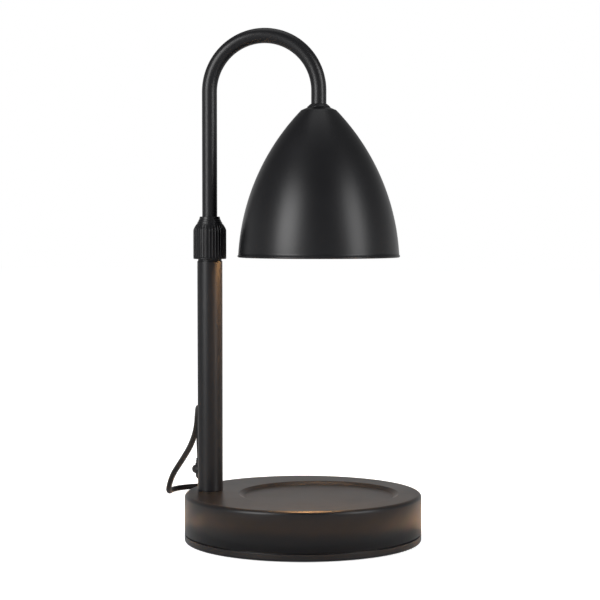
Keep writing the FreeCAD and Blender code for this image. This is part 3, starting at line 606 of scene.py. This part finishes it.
collar_body = turned("collar_body", rounded(
    (7.3, 178.8, 0.2), (10.4, 178.8, 0.2), (10.4, 179.5, 0.15), (10.0, 180.1, 0.2), (9.95, 197.3, 1.0),
    (8.45, 201.0, 0.15), (8.05, 201.15, 0.1), (7.7, 202.35, 0.15), (7.35, 202.5, 0.1), (7.0, 203.7, 0.15),
    (6.7, 203.85, 0.1), (6.35, 205.7, 0.3), (5.6, 205.7, 0.2), (5.6, 205.1, 0.1), (5.0, 205.1, 0.1),
    (5.0, 199.5), (6.2, 195.5), (7.3, 192.2), loop=True, steps=4),
    paint, at=(post_x, 0, 0), sides=128, loop=True)


rib_count, rib_circle_r, rib_sides = 32, 9.94, 10


def rib_ring(out, height, radius, lean):
    """A ring across a rib that leans in by an angle, to follow the collar's shoulder."""
    slant = math.radians(lean)
    return [(out + radius * math.cos(t) * math.cos(slant), radius * math.sin(t),
             height + radius * math.cos(t) * math.sin(slant)) for t in round_steps(rib_sides)]


rib = skinned("rib", [
    [(0, 0, 178.95)], rib_ring(0, 178.98, 0.35, 0), rib_ring(0, 179.2, 0.5, 0), rib_ring(0, 180.2, 0.54, 0),
    rib_ring(0, 196.3, 0.54, 0), rib_ring(-0.04, 197.1, 0.53, 8), rib_ring(-0.3, 197.9, 0.5, 18),
    rib_ring(-0.68, 198.8, 0.44, 24), rib_ring(-1.08, 199.7, 0.34, 24), rib_ring(-1.42, 200.5, 0.18, 24),
    [(-1.55, 0, 200.8)]], paint)
collar_ribs = repeated(rib, rib_count, rib_circle_r, (post_x, 0, 0), paint)
collar_ribs.name = "collar_ribs"


# Thin tube with its half-round bend

tube_r, tube_wall, tube_sides = 4.8, 0.8, 48


def tube_rings(radius):
    """Rings along the tube: up, over the bend and down to the shade."""
    bend_x, bend_z, bend_r, bend_step = -25.0, 284.5, 35.0, 2.5
    stations = [((post_x, z), 180.0) for z in (108.0, 108.3, 150.0, 206.0, 245.0, 270.0, 283.5)]
    for k in range(int(180.0 / bend_step) + 1):
        turn = 180.0 - bend_step * k
        t = math.radians(turn)
        stations.append(((bend_x + bend_r * math.cos(t), bend_z + bend_r * math.sin(t)), turn))
    stations += [((head_x, z), 0.0) for z in (283.5, 275.0, 263.8, 263.5)]
    rings = []
    for (x, z), turn in stations:
        middle, aside = Vector((x, 0, z)), Vector((0, 1, 0))
        out = Vector((math.cos(math.radians(turn)), 0, math.sin(math.radians(turn))))
        rings.append([tuple(middle + radius * (math.cos(t) * out + math.sin(t) * aside))
                      for t in round_steps(tube_sides)])
    return rings


thin_tube = skinned("thin_tube", tube_rings(tube_r) + tube_rings(tube_r - tube_wall)[::-1], paint, loop=True)


# Shade, with its rolled rim and the small flared ring on top

arc_centre, arc_r, arc_top, arc_foot = (-91.23, 173.64), 142.15, 43.95, 3.2
rim_centre, rim_r = (50.31, 180.85), 0.85
shade_thick = 1.0
outer_side = arc(arc_centre, arc_r, arc_top, arc_foot, 64)
inner_side = arc(arc_centre, arc_r - shade_thick, arc_foot, arc_top, 64)
rim_bead = arc(rim_centre, rim_r, 42, -222, 18)
shade = turned("shade", [
    *rounded((4.9, 273.4), (4.9, 274.0, 0.1), (7.2, 274.0, 0.6), (11.1, 272.3, 0.3), (12.73, 270.59),
             steps=4)[:-1],
    *outer_side[1:], *rim_bead, *inner_side, (9.9, 272.0), (9.1, 272.5), (8.0, 273.0), (4.9, 273.0)],
    paint, at=(head_x, 0, 0), sides=many_sides, loop=True)

ferrule = turned("ferrule", [
    (4.8, 274.0), (7.2, 274.0), (7.3, 274.1), (7.3, 274.3), (7.2, 274.45), (7.0, 274.62), (5.6, 275.85),
    (5.4, 276.05), (5.2, 276.2), (4.8, 276.2)], paint, at=(head_x, 0, 0), sides=64, loop=True)


# Bulb

mirror_centre, mirror_r, mirror_thick = (-8.55, 191.2), 38.0, 1.2
bulb_mirror = turned("bulb_mirror", [
    (4.6, 222.8), (4.6, 224.0), (13.4, 224.0), *arc(mirror_centre, mirror_r, 52, 8, 16)[1:-1],
    (24.8, 192.0), (24.8, 191.5), (23.6, 191.5),
    *arc(mirror_centre, mirror_r - mirror_thick, 8, 52, 16)[1:-1], (12.2, 222.8)],
    mirror, at=(head_x, 0, 0), sides=96, loop=True)
front_glass = turned("front_glass", rounded(
    (0, 190.0), (24.8, 190.0, 0.6), (24.8, 191.5, 0.3), (0, 191.5)), bulb_glass, at=(head_x, 0, 0), sides=96)


# Strap round the coil, a band with rounded corners

strap_x, strap_y, strap_z = 47.5, 124.89, 5.275
strap_section = rounded((0, -4.0, 0.3), (0.8, -4.0, 0.3), (0.8, 4.0, 0.3), (0, 4.0, 0.3),
                        loop=True, steps=3)
strap_half_width, strap_half_height, strap_corner = 9.54, 4.425, 2.15
corner_steps = 8
strap_rings = []
for side, rise, first in ((1, 1, 0), (-1, 1, 90), (-1, -1, 180), (1, -1, 270)):
    corner_x = strap_x + side * (strap_half_width - strap_corner)
    corner_z = strap_z + rise * (strap_half_height - strap_corner)
    for k in range(corner_steps + 1):
        t = math.radians(first + 90 / corner_steps * k)
        strap_rings.append([
            (corner_x + (strap_corner + out) * math.cos(t), strap_y + across,
             corner_z + (strap_corner + out) * math.sin(t)) for out, across in strap_section])
strap = skinned("strap", strap_rings, plastic, loop=True)


# Plug, with its ribbed strain relief

plug_sides = 64


def plug_ring(x, half_width, half_height, roundness):
    """A ring across the plug. A roundness of 2 is an ellipse, and larger numbers are squarer."""
    ring = []
    for t in round_steps(plug_sides):
        c, s = math.cos(t), math.sin(t)
        ring.append((x, plug_y + half_width * math.copysign(abs(c) ** (2 / roundness), c),
                     plug_z + half_height * math.copysign(abs(s) ** (2 / roundness), s)))
    return ring


ridges, ridge_pitch, ridge_growth, groove_depth = 5, 3.0, 0.28, 0.5
plug_shape = [(0.0, 2.3, 2.3, 2), (-0.3, 2.75, 2.75, 2)]
for k in range(ridges):
    x, r = -0.8 - ridge_pitch * k, 2.9 + ridge_growth * k
    for further, wider in ((0, 0), (1.5, 0.1), (1.75, -groove_depth), (2.4, -groove_depth), (2.65, 0)):
        plug_shape.append((x - further, r + wider, r + wider, 2))
plug_shape += [
    (-15.8, 4.4, 4.3, 2), (-16.0, 6.0, 4.8, 2.2), (-16.5, 8.4, 5.7, 2.6), (-17.6, 9.9, 6.5, 3.2),
    (-19.4, 10.6, 6.9, 4.0), (-23.0, 10.7, 6.8, 4.4), (-28.0, 10.5, 6.5, 4.6), (-33.0, 10.7, 6.8, 4.8),
    (-36.0, 10.95, 7.05, 5.0), (-39.2, 11.0, 7.1, 5.0), (-39.8, 10.7, 6.8, 5.0), (-40.0, 10.1, 6.2, 5.0)]
plug_rings = [plug_ring(*station) for station in plug_shape]
plug = skinned("plug", [[(0.0, plug_y, plug_z)], *plug_rings, [(-40.0, plug_y, plug_z)]], plastic)


# Each new piece rides on its body, stands for its node and names its finish

for piece, body, nodes, slot in (
        (base_cup, "stand", ["base_housing"], "black_paint"),
        (bottom_band, "stand", ["bottom_plate"], "black_paint"),
        (post, "stand", ["post_tube"], "black_paint"),
        (strain_relief, "stand", ["cord_gland"], "black_rubber"),
        (lamp_lead, "stand", ["lamp_cord"], "cord_sheath"),
        (put_away_lead, "stand", ["cord_coil"], "cord_sheath"),
        (plug, "stand", ["plug_body"], "black_plastic"),
        (strap, "stand", ["cord_tie"], "black_plastic"),
        (slack_lead, "stand", ["post_lead"], "cord_sheath"),
        (collar_body, "lock_collar", ["lock_collar"], "black_paint"),
        (collar_ribs, "lock_collar", [], "black_paint"),
        (thin_tube, "arm", ["arm_tube"], "black_paint"),
        (shade, "arm", ["shade_shell"], "black_paint"),
        (ferrule, "arm", ["shade_ferrule"], "black_paint"),
        (bulb_mirror, "bulb", ["bulb_reflector"], "reflector"),
        (front_glass, "bulb", ["bulb_lens"], "bulb_glass")):
    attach(piece, body)
    if nodes:
        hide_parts(*nodes)
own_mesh(slack_lead)

# The solids that are kept get the same finishes

for finish, kept_nodes in (
        (iron, ["ballast_disc"]), (pad_foam, ["foot_pad"]), (paint, ["collar_seat"]),
        (nylon, ["collet", "guide_bush"]), (sheath, ["arm_lead"]), (ceramic, ["holder_body", "bulb_base"]),
        (bulb_glass, ["bulb_capsule"]), (blade_brass, ["holder_contacts", "plug_blades"]),
        (plastic, ["dimmer_case_top", "dimmer_case_base", "dimmer_wheel"]), (green_board, ["dimmer_board"]),
        (steel, ["plate_screws", "post_stud", "foot_washer", "foot_nut", "bush_clips", "shade_washer",
                 "shade_nut", "bracket_nut", "holder_bracket", "holder_screws", "bulb_pins",
                 "dimmer_screws"])):
    for name in kept_nodes:
        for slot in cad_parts[name].material_slots:
            slot.material = finish


# Floor, surroundings and lights

def seen_directly(finish):
    """1 for what the camera, a mirror or clear glass sees, and 0 for the light that falls on things."""
    path = finish.node("ShaderNodeLightPath")
    seen = Amount(finish, path.outputs["Is Camera Ray"])
    return seen.larger(Amount(finish, path.outputs["Is Glossy Ray"])).larger(
        Amount(finish, path.outputs["Is Transmission Ray"]))


sky = Finish(bpy.context.scene.world or bpy.data.worlds.new("surroundings"))
bpy.context.scene.world = sky.owner
# Reflections see white near the horizon and grey overhead, and the camera sees white everywhere
direction = sky.node("ShaderNodeTexCoord").outputs["Generated"]
way_up = sky.node("ShaderNodeSeparateXYZ", None, {"Vector": direction})
overhead = Amount(sky, way_up.outputs["Z"]).between(-0.05, 0.35)
looked_at = Amount(sky, sky.node("ShaderNodeLightPath").outputs["Is Camera Ray"])
soft = sky.node("ShaderNodeBackground", None, {"Color": (0.93, 0.96, 1.0, 1), "Strength": 0.35})
white = sky.node("ShaderNodeBackground", None, {
    "Color": (1, 1, 1, 1), "Strength": (1.0 - 0.75 * overhead).larger(looked_at)})
either = sky.node("ShaderNodeMixShader", None, {
    0: seen_directly(sky), 1: soft.outputs[0], 2: white.outputs[0]})
sky.node("ShaderNodeOutputWorld", None, {"Surface": either.outputs[0]})

# The floor is matt grey, and the camera sees it as white
ground = new_finish("pale_floor")
seen = seen_directly(ground)
matt = ground.node("ShaderNodeBsdfDiffuse", None, {"Color": (0.6, 0.6, 0.6, 1)})
looked_at = Amount(ground, ground.node("ShaderNodeLightPath").outputs["Is Camera Ray"])
glow = ground.node("ShaderNodeEmission", None, {"Strength": 0.05 * seen + 0.75 * looked_at})
both = ground.node("ShaderNodeAddShader", None, {0: matt.outputs[0], 1: glow.outputs[0]})
ground.node("ShaderNodeOutputMaterial", None, {"Surface": both.outputs[0]})
floor_reach = 6
floor_corners = [(x * floor_reach, y * floor_reach, 0) for x, y in ((-1, -1), (1, -1), (1, 1), (-1, 1))]
floor_mesh = bpy.data.meshes.new("floor")
floor_mesh.from_pydata(floor_corners, [], [(0, 1, 2, 3)])
floor_mesh.materials.append(ground.owner)
floor = bpy.data.objects.new("floor", floor_mesh)
bpy.context.collection.objects.link(floor)


lamp_middle = Vector((0, 0, 0.2))


def softbox(name, turn, height, away, width, tall, power):
    """A soft light at a turn about the lamp from the camera's side, in degrees, that faces the lamp."""
    data = bpy.data.lights.new(name, "AREA")
    data.shape = "RECTANGLE"
    data.size = width
    data.size_y = tall
    data.energy = power
    box = bpy.data.objects.new(name, data)
    bpy.context.collection.objects.link(box)
    t = math.radians(turn)
    way = -to_back * math.cos(t) + to_right * math.sin(t)
    box.location = way * away + Vector((0, 0, height))
    box.rotation_mode = "QUATERNION"
    box.rotation_quaternion = (lamp_middle - box.location).to_track_quat("-Z", "Y")


softbox("left_softbox", -47, height=0.72, away=1.6, width=0.8, tall=1.1, power=36.0)
softbox("right_softbox", 57, height=0.72, away=1.6, width=0.65, tall=1.1, power=23.0)
softbox("top_softbox", 180, height=2.2, away=0.3, width=1.4, tall=1.4, power=9.0)
